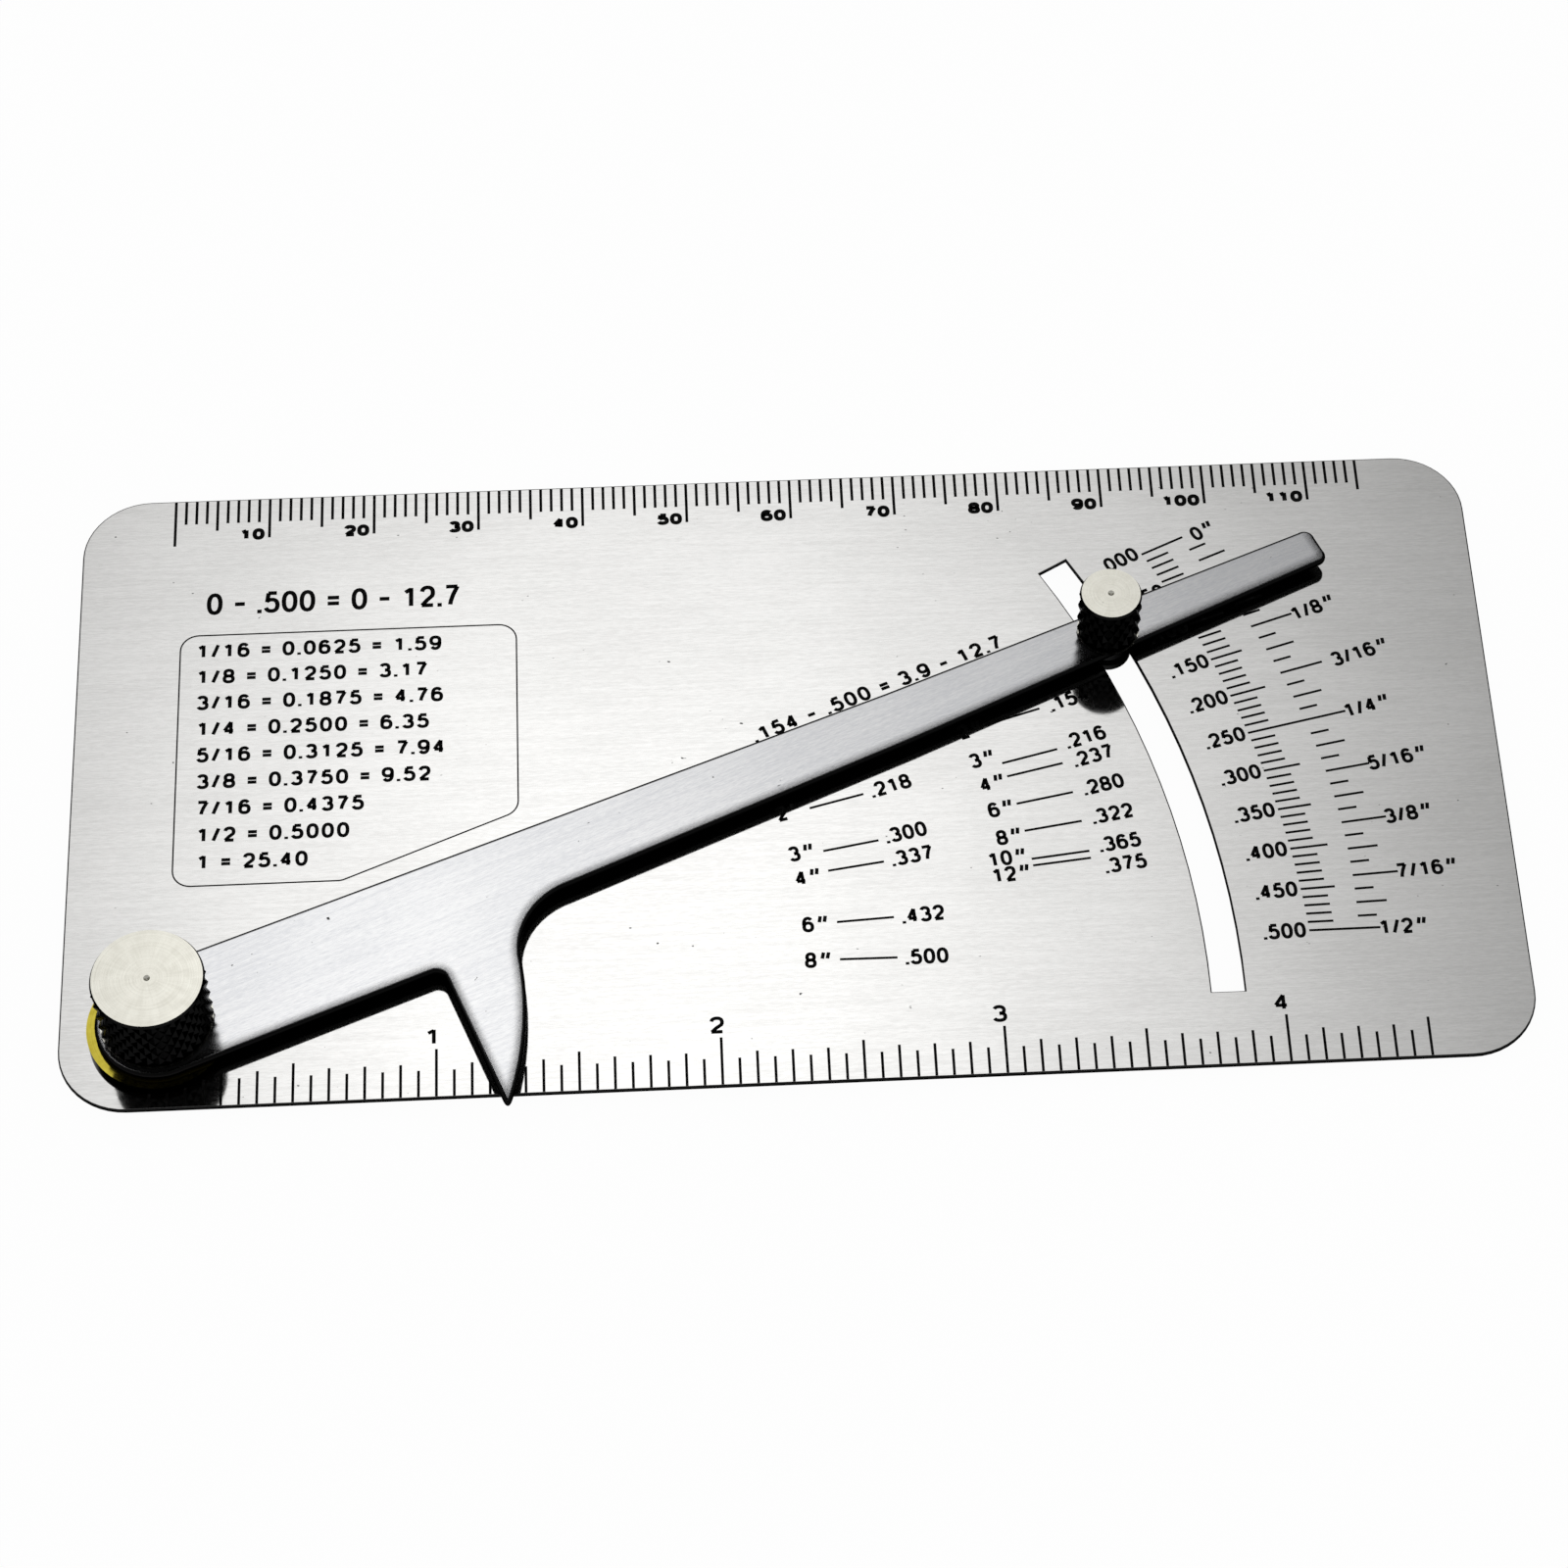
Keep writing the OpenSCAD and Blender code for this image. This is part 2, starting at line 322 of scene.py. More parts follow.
class Effect:
    """A shared surface effect, kept as one node group."""

    name: str = "effect"
    outputs: tuple[str, ...] = ()

    def tree(self) -> bpy.types.NodeTree:
        """Returns the effect's node group, built on first use."""
        found = bpy.data.node_groups.get(self.name)
        if found:
            return found
        made = bpy.data.node_groups.new(self.name, "ShaderNodeTree")
        made.interface.new_socket("Place", in_out="INPUT", socket_type="NodeSocketVector")
        for output in self.outputs:
            made.interface.new_socket(output, in_out="OUTPUT", socket_type="NodeSocketFloat")
        shader = Shader(made)
        start = shader.add("NodeGroupInput")
        shader.feed(shader.add("NodeGroupOutput"), **self.values(shader, start.outputs["Place"]))
        return made

    def values(self, shader: Shader, place: Socket) -> dict[str, Socket]:
        """Works out the effect's outputs.

        Args:
            shader: the group's tree.
            place: coordinates in millimetres.

        Returns:
            A socket for each output's name.
        """
        raise NotImplementedError


class BrushGrain(Effect):
    """Fine parallel scratches along X, with broader bands of tone under them."""

    name = "brush_grain"
    outputs = ("Tone", "Height")

    def values(self, shader: Shader, place: Socket) -> dict[str, Socket]:
        """Adds up fine scratches, broad bands and soft clouds."""
        fine = shader.noise(place, stretch=(1.4, 11.0, 11.0), detail=3.0)
        broad = shader.noise(place, stretch=(0.12, 3.2, 3.2), detail=2.0)
        cloud = shader.noise(place, stretch=(0.06, 0.09, 0.09), detail=1.0)
        tone = shader.weigh((fine, 0.52), (broad, 0.28), (cloud, 0.2))
        return {"Tone": shader.spread(tone, 0.3, 0.7, 0.0, 1.0), "Height": fine}


class Specks(Effect):
    """Sparse small pits and dirt specks."""

    name = "specks"
    outputs = ("Mask",)

    def values(self, shader: Shader, place: Socket) -> dict[str, Socket]:
        """Keeps only the highest peaks of a fine noise, where a broad one is high too."""
        fine = shader.noise(place, stretch=(1.6, 2.2, 2.2), detail=1.0)
        broad = shader.noise(place, stretch=(0.2, 0.2, 0.2), detail=1.0)
        peak = shader.weigh((fine, 1.0), (broad, 0.35))
        return {"Mask": shader.spread(peak, 0.98, 1.06, 0.0, 1.0)}


class TurnedMarks(Effect):
    """Rings and faint rays that a lathe leaves on an end face, about the Z axis."""

    name = "turned_marks"
    outputs = ("Tone", "Height", "Outside")

    def values(self, shader: Shader, place: Socket) -> dict[str, Socket]:
        """Reads noise along the radius for rings, round the axis for rays, and evenly for patches."""
        x, y, _ = shader.split(place)
        radius = shader.maths("SQRT", shader.squares(x, y))
        round_axis = shader.feed(shader.add("ShaderNodeCombineXYZ"), X=radius, Y=shader.maths("ARCTAN2", y, x))
        rings = shader.noise(round_axis.outputs[0], stretch=(6.0, 0.4, 1.0), detail=2.0)
        rays = shader.noise(round_axis.outputs[0], stretch=(0.35, 9.0, 1.0), detail=3.0)
        patches = shader.noise(place, stretch=(0.9, 0.9, 0.9), detail=4.0)
        tone = shader.weigh((rings, 0.3), (rays, 0.3), (patches, 0.4))
        # Outside grows with the radius and scales the painted shade on steep faces.
        return {"Tone": shader.spread(tone, 0.3, 0.7, 0.0, 1.0), "Height": rings,
                "Outside": shader.spread(radius, 0.6, 1.0, 0.45, 1.0)}


@dataclass(frozen=True)
class Finish:
    """A surface finish; each kind below builds its own material."""

    name: str

    def start(self) -> tuple[bpy.types.Material, Shader, bpy.types.Node]:
        """Makes an empty material.

        Returns:
            The material, its tree and its Principled shader.
        """
        material = bpy.data.materials.new(self.name)
        material.use_nodes = True
        material.node_tree.nodes.clear()
        shader = Shader(material.node_tree)
        surface = shader.add("ShaderNodeBsdfPrincipled")
        shader.feed(shader.add("ShaderNodeOutputMaterial"), Surface=surface.outputs[0])
        return material, shader, surface

    def place(self, shader: Shader, centre: Colour = (0.0, 0.0, 0.0), turn: float = 0.0) -> Socket:
        """Gives the gauge's own coordinates in millimetres.

        Args:
            shader: the material's tree.
            centre: point to count from, in metres.
            turn: angle of the counted X axis about Z, in degrees.

        Returns:
            The socket of the coordinates.
        """
        mapping = shader.add("ShaderNodeMapping", vector_type="TEXTURE")
        shader.feed(mapping, Vector=shader.add("ShaderNodeTexCoord").outputs["Object"],
                    Location=centre, Rotation=(0.0, 0.0, math.radians(turn)), Scale=(MM, MM, MM))
        return mapping.outputs[0]

    def steepness(self, shader: Shader, steep: float, flat: float) -> Socket:
        """Tells flat faces that look up from the plate apart from steeper ones.

        Args:
            shader: the material's tree.
            steep: height of the unit normal at which a face counts as steep.
            flat: height of the unit normal at which it counts as flat.

        Returns:
            The socket of a value that is 0 on flat faces and 1 on steep ones.
        """
        _, _, up = shader.split(shader.add("ShaderNodeNewGeometry").outputs["Normal"])
        return shader.spread(up, steep, flat, 1.0, 0.0)

    def build(self) -> bpy.types.Material:
        """Returns the finish's material."""
        raise NotImplementedError


@dataclass(frozen=True)
class BrushedSteel(Finish):
    """Satin stainless steel, brushed one way, with painted shade on its steep cut edges and rims."""

    pale: Colour
    deep: Colour
    edge: Colour
    smooth: float
    rough: float
    lay: Lay
    # Painted shade: the face darkens towards the edge colour along the lay, by up to the given share.
    fade_from: float = 0.0
    fade_to: float = 1.0
    fade: float = 0.0
    # Painted shade: a dark band along the rounded rims, found from a bevel normal, apart from the reading
    # edge.
    worn_reach: float = 0.0
    worn_from: float = 0.01
    worn_full: float = 0.16
    reading_share: float = 1.1
    bump_strength: float = 0.04
    bump_depth: float = 0.01

    def worn(self, shader: Shader) -> Socket:
        """Finds the band of face along the rounded edges that takes painted shade, which leaves out the
        straight reading edge.

        Args:
            shader: the material's tree.

        Returns:
            The socket of a value that is 0 on the face and 1 at a shaded edge.
        """
        turn = math.radians(self.lay.value)
        eased = shader.feed(shader.add("ShaderNodeBevel", samples=3), Radius=self.worn_reach * MM)
        local = shader.add("ShaderNodeVectorTransform", vector_type="NORMAL", convert_from="WORLD",
                           convert_to="OBJECT")
        shader.feed(local, Vector=eased.outputs[0])
        level = shader.add("ShaderNodeVectorMath", operation="MULTIPLY")
        reading = shader.add("ShaderNodeVectorMath", operation="DOT_PRODUCT")
        lean = shader.add("ShaderNodeVectorMath", operation="LENGTH")
        for node, factor in ((level, (1.0, 1.0, 0.0)), (reading, (-math.sin(turn), math.cos(turn), 0.0))):
            shader.put(node.inputs[0], local.outputs[0])
            shader.put(node.inputs[1], factor)
        shader.put(lean.inputs[0], level.outputs[0])
        kept = shader.maths("MULTIPLY", shader.maths("MAXIMUM", reading.outputs["Value"], 0.0),
                            self.reading_share)
        return shader.spread(shader.maths("SUBTRACT", lean.outputs["Value"], kept),
                             self.worn_from, self.worn_full, 0.0, 1.0)

    def build(self) -> bpy.types.Material:
        """Builds grain, specks, painted shade along the lay, painted shade on the steep edges and a painted
        shade band along the rims into one material.
        """
        material, shader, surface = self.start()
        place = self.place(shader, turn=self.lay.value)
        grain = shader.group(BrushGrain().tree(), place)
        specks = shader.group(Specks().tree(), place)
        colour = shader.blend(grain.outputs["Tone"], self.deep, self.pale)
        # Painted shade: darker towards the far end along the lay.
        along, _, _ = shader.split(place)
        far_shaded = shader.spread(along, self.fade_from, self.fade_to, 0.0, self.fade)
        colour = shader.blend(far_shaded, colour, self.edge)
        colour = shader.blend(specks.outputs["Mask"], colour, self.edge)
        # Painted shade: steep faces, meaning the cut sides and rounded rims, take the near-black edge colour.
        colour = shader.blend(self.steepness(shader, steep=0.965, flat=0.9995), colour, self.edge)
        # Painted shade: a dark band along the rounded rims.
        if self.worn_reach:
            colour = shader.blend(self.worn(shader), colour, self.edge)
        bump = shader.add("ShaderNodeBump")
        shader.feed(bump, Height=grain.outputs["Height"], Strength=self.bump_strength,
                    Distance=self.bump_depth * MM)
        shader.feed(surface, Base_Color=colour, Metallic=1.0, Normal=bump.outputs[0],
                    Specular_Tint=(0.1, 0.1, 0.1, 1.0),
                    Roughness=shader.spread(grain.outputs["Tone"], 0.0, 1.0, self.rough, self.smooth))
        return material


@dataclass(frozen=True)
class TurnedSteel(Finish):
    """Lathe-turned steel with a pale end face and painted shade on its side."""

    pale: Colour
    deep: Colour
    side: Colour
    roughness: float
    roughness_swing: float = 0.03
    bump_strength: float = 0.1
    bump_depth: float = 0.02
    centre: Colour = (0.0, 0.0, 0.0)

    def build(self) -> bpy.types.Material:
        """Builds turning marks, specks and painted shade on the side into one material."""
        material, shader, surface = self.start()
        place = self.place(shader, centre=self.centre)
        marks = shader.group(TurnedMarks().tree(), place)
        specks = shader.group(Specks().tree(), place)
        colour = shader.blend(marks.outputs["Tone"], self.deep, self.pale)
        colour = shader.blend(specks.outputs["Mask"], colour, self.side)
        # Painted shade: steep faces away from the axis take the dark side colour.
        side = shader.maths("MULTIPLY", self.steepness(shader, steep=0.75, flat=0.9), marks.outputs["Outside"])
        colour = shader.blend(side, colour, self.side)
        bump = shader.add("ShaderNodeBump")
        shader.feed(bump, Height=marks.outputs["Height"], Strength=self.bump_strength,
                    Distance=self.bump_depth * MM)
        shader.feed(surface, Base_Color=colour, Metallic=1.0, Normal=bump.outputs[0],
                    Specular_Tint=(0.2, 0.2, 0.2, 1.0),
                    Roughness=shader.spread(marks.outputs["Tone"], 0.0, 1.0,
                                            self.roughness + self.roughness_swing,
                                            self.roughness - self.roughness_swing))
        return material


@dataclass(frozen=True)
class Ink(Finish):
    """Black etched print, worn a little thin in places."""

    dark: Colour
    worn: Colour

    def build(self) -> bpy.types.Material:
        """Builds matt ink with faint wear."""
        material, shader, surface = self.start()
        wear = shader.noise(self.place(shader), stretch=(1.3, 1.3, 1.3), detail=3.0)
        colour = shader.blend(shader.spread(wear, 0.5, 0.75, 0.0, 1.0), self.dark, self.worn)
        shader.feed(surface, Base_Color=colour, Specular_IOR_Level=0.03,
                    Roughness=shader.spread(wear, 0.3, 0.7, 0.5, 0.65))
        return material


def add_piece(mesh: bpy.types.Mesh, material: bpy.types.Material) -> bpy.types.Object:
    """Puts a mesh into the scene.

    Args:
        mesh: the mesh, which gives the piece its name.
        material: its finish.

    Returns:
        The piece.
    """
    mesh.materials.append(material)
    piece = bpy.data.objects.new(mesh.name, mesh)
    bpy.context.scene.collection.objects.link(piece)
    return piece


class InkSheet:
    """Printed marks on one level, gathered into a single thin closed mesh."""

    SUNK = 0.006
    PROUD = 0.012
    SHARPEST_MITRE = 0.6

    def __init__(self, name: str, level: float) -> None:
        """Starts an empty sheet.

        Args:
            name: name of the finished piece.
            level: height of the printed face, in millimetres.
        """
        self.name = name
        self.level = level
        self.marks = bmesh.new()

    def stroke(self, points: list[Vector], width: float, closed: bool = False) -> None:
        """Draws a line through points.

        Args:
            points: the points, in millimetres.
            width: width of the line.
            closed: whether the last point joins the first.
        """
        count = len(points)
        low, high = self.level - self.SUNK, self.level + self.PROUD
        rings = []
        for i, here in enumerate(points):
            before = (here - points[i - 1] if closed or i else points[1] - here).normalized()
            after = (points[(i + 1) % count] - here).normalized() if closed or i < count - 1 else before
            along = (before + after).normalized()
            reach = Vector((-along.y, along.x)) * (width / 2 / max(self.SHARPEST_MITRE, along.dot(after)))
            corners = ((here - reach, low), (here - reach, high), (here + reach, high), (here + reach, low))
            rings.append([self.marks.verts.new((p.x * MM, p.y * MM, z * MM)) for p, z in corners])
        for i in range(count if closed else count - 1):
            first, second = rings[i], rings[(i + 1) % count]
            for k in range(4):
                self.marks.faces.new((first[k], second[k], second[(k + 1) % 4], first[(k + 1) % 4]))
        if not closed:
            self.marks.faces.new(reversed(rings[0]))
            self.marks.faces.new(rings[-1])

    def number(self, text: str, at: Vector, style: Style, turn: float = 0.0,
               anchor: Anchor = Anchor.MIDDLE) -> None:
        """Prints a number.

        Args:
            text: the number.
            at: point at mid height that the text is anchored to, in millimetres.
            style: the lettering.
            turn: direction of the line of text, in degrees.
            anchor: part of the text that lies on the point.
        """
        look, figures = style.value, Figures()
        widths = [figures.share(figure) * look.width for figure in text]
        across = -anchor.value * (sum(widths) + look.gap * (len(text) - 1)) + look.weight / 2
        spin = Matrix.Rotation(math.radians(turn), 2)
        rise, base = look.height - look.weight, (look.weight - look.height) / 2
        for figure, width in zip(text, widths):
            for line in figures.strokes(figure):
                closed = math.dist(line[0], line[-1]) < 0.001
                points = [at + spin @ Vector((across + x * (width - look.weight), base + y * rise))
                          for x, y in (line[:-1] if closed else line)]
                self.stroke(points, look.weight, closed)
            across += width + look.gap

    def build(self, material: bpy.types.Material) -> bpy.types.Object:
        """Turns the marks into a piece that rides on the plate.

        Args:
            material: the ink.

        Returns:
            The piece.
        """
        bmesh.ops.recalc_face_normals(self.marks, faces=self.marks.faces)
        mesh = bpy.data.meshes.new(self.name)
        self.marks.to_mesh(mesh)
        self.marks.free()
        piece = add_piece(mesh, material)
        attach(piece, "plate")
        return piece


def dress(node: str, material: bpy.types.Material) -> None:
    """Gives a CAD node its finish.

    Args:
        node: name of the node.
        material: its finish.
    """
    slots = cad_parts[node].data.materials
    slots.clear()
    slots.append(material)
    LOG.info("dressed %s", node)


def polar(radius: float, degrees: float) -> Vector:
    """Returns the point at a radius and angle about the pivot axis."""
    return Vector((radius * math.cos(math.radians(degrees)), radius * math.sin(math.radians(degrees))))


@dataclass
class EdgeRules:
    """Millimetre rule on the plate's top edge and inch rule on its bottom edge."""

    top: float = 58.76
    bottom: float = -7.94
    mm_zero: float = -1.304
    mm_last: int = 115
    mm_short: float = 2.8
    mm_medium: float = 3.65
    mm_long: float = 4.65
    mm_first: float = 5.35
    mm_line: float = 0.27
    mm_number_y: float = 54.55
    mm_number_shift: float = 0.45
    inch_zero: float = -0.742
    inch_last: int = 72
    inch_sixteenth: float = 2.8
    inch_eighth: float = 3.45
    inch_half: float = 4.1
    inch_whole: float = 4.95
    inch_line: float = 0.25
    inch_number_y: float = -1.7
    inch_number_shift: float = 0.35
    edge_gap: float = 0.15

    def millimetres(self, sheet: InkSheet) -> None:
        """Prints the millimetre rule.

        Args:
            sheet: the sheet that takes the marks.
        """
        for mark in range(1, self.mm_last + 1):
            x = self.mm_zero + mark
            length = self.mm_short
            if mark == 1:
                length = self.mm_first
            elif mark % 10 == 0:
                length = self.mm_long
                sheet.number(str(mark), Vector((x - self.mm_number_shift, self.mm_number_y)),
                             Style.MILLIMETRES, anchor=Anchor.END)
            elif mark % 5 == 0:
                length = self.mm_medium
            low, high = self.top - length, self.top - self.edge_gap
            sheet.stroke([Vector((x, low)), Vector((x, high))], self.mm_line)

    def inches(self, sheet: InkSheet) -> None:
        """Prints the inch rule, in sixteenths.

        Args:
            sheet: the sheet that takes the marks.
        """
        for mark in range(0, self.inch_last + 1):
            x = self.inch_zero + mark * INCH_IN_MM / 16
            length = self.inch_sixteenth
            if mark % 16 == 0:
                length = self.inch_whole
                if mark > 0:
                    sheet.number(str(mark // 16), Vector((x - self.inch_number_shift, self.inch_number_y)),
                                 Style.INCHES)
            elif mark % 8 == 0:
                length = self.inch_half
            elif mark % 2 == 0:
                length = self.inch_eighth
            low, high = self.bottom + self.edge_gap, self.bottom + length
            sheet.stroke([Vector((x, low)), Vector((x, high))], self.inch_line)

    def draw(self, level: float, ink: bpy.types.Material) -> None:
        """Prints both rules.

        Args:
            level: height of the printed face, in millimetres.
            ink: the print's finish.
        """
        metric = InkSheet("millimetre_rule", level)
        self.millimetres(metric)
        metric.build(ink)
        imperial = InkSheet("inch_rule", level)
        self.inches(imperial)
        imperial.build(ink)
        LOG.info("printed both edge rules")


class DepthMark(Enum):
    """Lengths of the depth scales' lines, in millimetres."""

    HUNDREDTH = 2.35
    TWENTIETH = 3.15
    TENTH = 3.5
    SIXTY_FOURTH = 1.75
    THIRTY_SECOND = 2.8
    SIXTEENTH = 4.2


@dataclass
class DepthScale:
    """Decimal and fraction depth scales that the arm's reading edge sweeps."""

    edge_offset: float = 5.2
    full_depth: float = 0.5
    zero_angle: float = 27.67
    degrees_per_inch: float = 49.08
    decimal_r: float = 104.0
    fraction_r: float = 108.1
    fraction_bow: float = 1.5
    fraction_bow_at: float = 0.27
    sag: float = 0.16
    line: float = 0.23
    number_gap: float = 0.3
    number_lift: float = 0.1
    number_tilt: float = 1.5
    zero_lift: float = 0.45
    fraction_gap: float = -0.15
    fraction_drop: float = 0.13

    JOINED_R = {0.0: 108.5, 0.25: 113.6, 0.5: 110.5}
    FRACTIONS = {0: "0", 8: "1/8", 12: "3/16", 16: "1/4", 20: "5/16", 24: "3/8", 28: "7/16", 32: "1/2"}
    WIDER_GAPS = {0: 0.85, 8: -0.1, 12: 0.95}

    def ray(self, depth: float, radius: float, rise: float = 0.0) -> Vector:
        """Returns a point of a depth's reading line, by its distance from the pivot, or one just above it."""
        return polar(radius, self.slope(depth) + math.degrees(math.asin((self.edge_offset + rise) / radius)))

    def slope(self, depth: float) -> float:
        """Works out the direction of a depth's reading line, which sags a little before mid scale.

        Args:
            depth: the depth, in inches.

        Returns:
            The direction, in degrees.
        """
        share = depth / self.full_depth
        to_unit_peak = 27 / 4
        sag = self.sag * to_unit_peak * share * (1 - share) ** 2
        return (self.zero_angle - self.degrees_per_inch * depth - sag
                - math.degrees(math.asin(self.edge_offset / self.decimal_r)))

    def decimals(self, sheet: InkSheet) -> None:
        """Prints hundredths of an inch, numbered at every twentieth.

        Args:
            sheet: the sheet that takes the marks.
        """
        for mark in range(0, 51):
            depth = mark / 100
            length = DepthMark.HUNDREDTH
            if mark % 5 == 0:
                length = DepthMark.TENTH if mark % 10 == 0 else DepthMark.TWENTIETH
                text = "000" if mark == 0 else f".{mark:02d}0"
                lift = self.zero_lift if mark == 0 else self.number_lift
                sheet.number(text, self.ray(depth, self.decimal_r - self.number_gap, lift), Style.DEPTH,
                             self.slope(depth) + self.number_tilt, Anchor.END)
            end = self.JOINED_R.get(depth, self.decimal_r + length.value)
            sheet.stroke([self.ray(depth, self.decimal_r), self.ray(depth, end)], self.line)

    def fractions(self, sheet: InkSheet) -> None:
        """Prints sixty-fourths of an inch, numbered at every sixteenth.

        Args:
            sheet: the sheet that takes the marks.
        """
        for mark in range(0, 33):
            depth = mark / 64
            bow = 1 - ((depth - self.fraction_bow_at) / self.fraction_bow_at) ** 2
            start = self.fraction_r + self.fraction_bow * bow
            length = DepthMark.SIXTY_FOURTH
            if mark % 2 == 0:
                length = DepthMark.SIXTEENTH if mark % 4 == 0 else DepthMark.THIRTY_SECOND
            end = self.JOINED_R.get(depth, start + length.value)
            drop = 0.0 if depth in self.JOINED_R else -self.fraction_drop
            if depth not in self.JOINED_R:
                sheet.stroke([self.ray(depth, start, drop), self.ray(depth, end, drop)], self.line)
            if mark in self.FRACTIONS:
                gap = self.WIDER_GAPS.get(mark, self.fraction_gap)
                drop = -2 * self.fraction_drop if mark in self.WIDER_GAPS else drop
                sheet.number(self.FRACTIONS[mark] + '"', self.ray(depth, end + gap, drop), Style.DEPTH,
                             self.slope(depth) + self.number_tilt, Anchor.START)

    def draw(self, level: float, ink: bpy.types.Material) -> None:
        """Prints both scales.

        Args:
            level: height of the printed face, in millimetres.
            ink: the print's finish.
        """
        sheet = InkSheet("depth_scale", level)
        self.decimals(sheet)
        self.fractions(sheet)
        sheet.build(ink)
        LOG.info("printed the depth scale")


@dataclass(frozen=True)
class SizeRow:
    """One line of a fan: its size, its thickness, and how far each number stands off the line."""

    size: str
    thickness: float
    size_lift: float = 0.0
    thickness_lift: float = 0.0


@dataclass
class SizeFan:
    """One fan of short lines, each between a size and its thickness in inches."""

    start_r: float
    length: float
    zero_angle: float
    degrees_per_inch: float
    rows: tuple[SizeRow, ...]
    drift: float = 0.0
    drift_from: float = 0.287
    edge_offset: float = 5.2
    line: float = 0.23
    size_gap: float = 0.5
    thickness_gap: float = 1.0
    thickness_tilt: float = 1.5

    def draw(self, sheet: InkSheet) -> None:
        """Prints the fan.

        Args:
            sheet: the sheet that takes the marks.
        """
        for row in self.rows:
            start = self.start_r - self.drift * (row.thickness - self.drift_from)
            end = start + self.length
            slope = (self.zero_angle - self.degrees_per_inch * row.thickness
                     - math.degrees(math.asin(self.edge_offset / (self.start_r + self.length / 2))))

            def ray(radius: float, rise: float = 0.0) -> Vector:
                """Returns a point of this row's line, or one a little above it."""
                return polar(radius, slope + math.degrees(math.asin((self.edge_offset + rise) / radius)))

            sheet.stroke([ray(start), ray(end)], self.line)
            sheet.number(row.size + '"', ray(start - self.size_gap, row.size_lift), Style.DEPTH, slope,
                         Anchor.END)
            sheet.number(f"{row.thickness:.3f}"[1:], ray(end + self.thickness_gap, row.thickness_lift),
                         Style.DEPTH, slope + self.thickness_tilt, Anchor.START)


@dataclass
class NumberPanel:
    """Outlined panel with one corner cut off, filled with a plain conversion table."""

    left: float = 0.6
    right: float = 32.2
    low: float = 15.1
    high: float = 42.9
    cut_x: float = 16.0
    cut_y: float = 21.9
    corner_r: float = 1.7
    corner_steps: int = 8
    line: float = 0.14
    first_row_y: float = 41.1
    row_pitch: float = 2.93
    row_x: float = 2.1
    row_shift: float = 0.08
    last_row_shift: float = 0.65
    rows: int = 8
    rows_in_both_units: int = 6

    def edge(self) -> list[Vector]:
        """Returns the panel's outline with rounded corners, counterclockwise."""
        corners = [Vector((self.left, self.low)), Vector((self.cut_x, self.low)),
                   Vector((self.right, self.cut_y)), Vector((self.right, self.high)),
                   Vector((self.left, self.high))]
        points = []
        for i, corner in enumerate(corners):
            before = (corners[i - 1] - corner).normalized()
            after = (corners[(i + 1) % len(corners)] - corner).normalized()
            half = before.angle(after) / 2
            reach = self.corner_r / math.tan(half)
            centre = corner + (before + after).normalized() * (self.corner_r / math.sin(half))
            first = corner + before * reach - centre
            swing = math.pi - 2 * half
            for step in range(self.corner_steps + 1):
                points.append(centre + Matrix.Rotation(swing * step / self.corner_steps, 2) @ first)
        return points

    def draw(self, sheet: InkSheet) -> None:
        """Prints the outline and the table's rows.

        Args:
            sheet: the sheet that takes the marks.
        """
        sheet.stroke(self.edge(), self.line, closed=True)
        for row in range(self.rows):
            sixteenths = row + 1
            share = math.gcd(sixteenths, 16)
            inches = sixteenths / 16
            text = f"{sixteenths // share}/{16 // share} = {inches:.4f}"
            if row < self.rows_in_both_units:
                text += f" = {inches * INCH_IN_MM:.2f}"
            at = Vector((self.row_x + row * self.row_shift, self.first_row_y - row * self.row_pitch))
            sheet.number(text, at, Style.TABLE, anchor=Anchor.START)
        last = Vector((self.row_x + self.last_row_shift, self.first_row_y - self.rows * self.row_pitch))
        sheet.number(f"1 = {INCH_IN_MM:.2f}", last, Style.TABLE, anchor=Anchor.START)


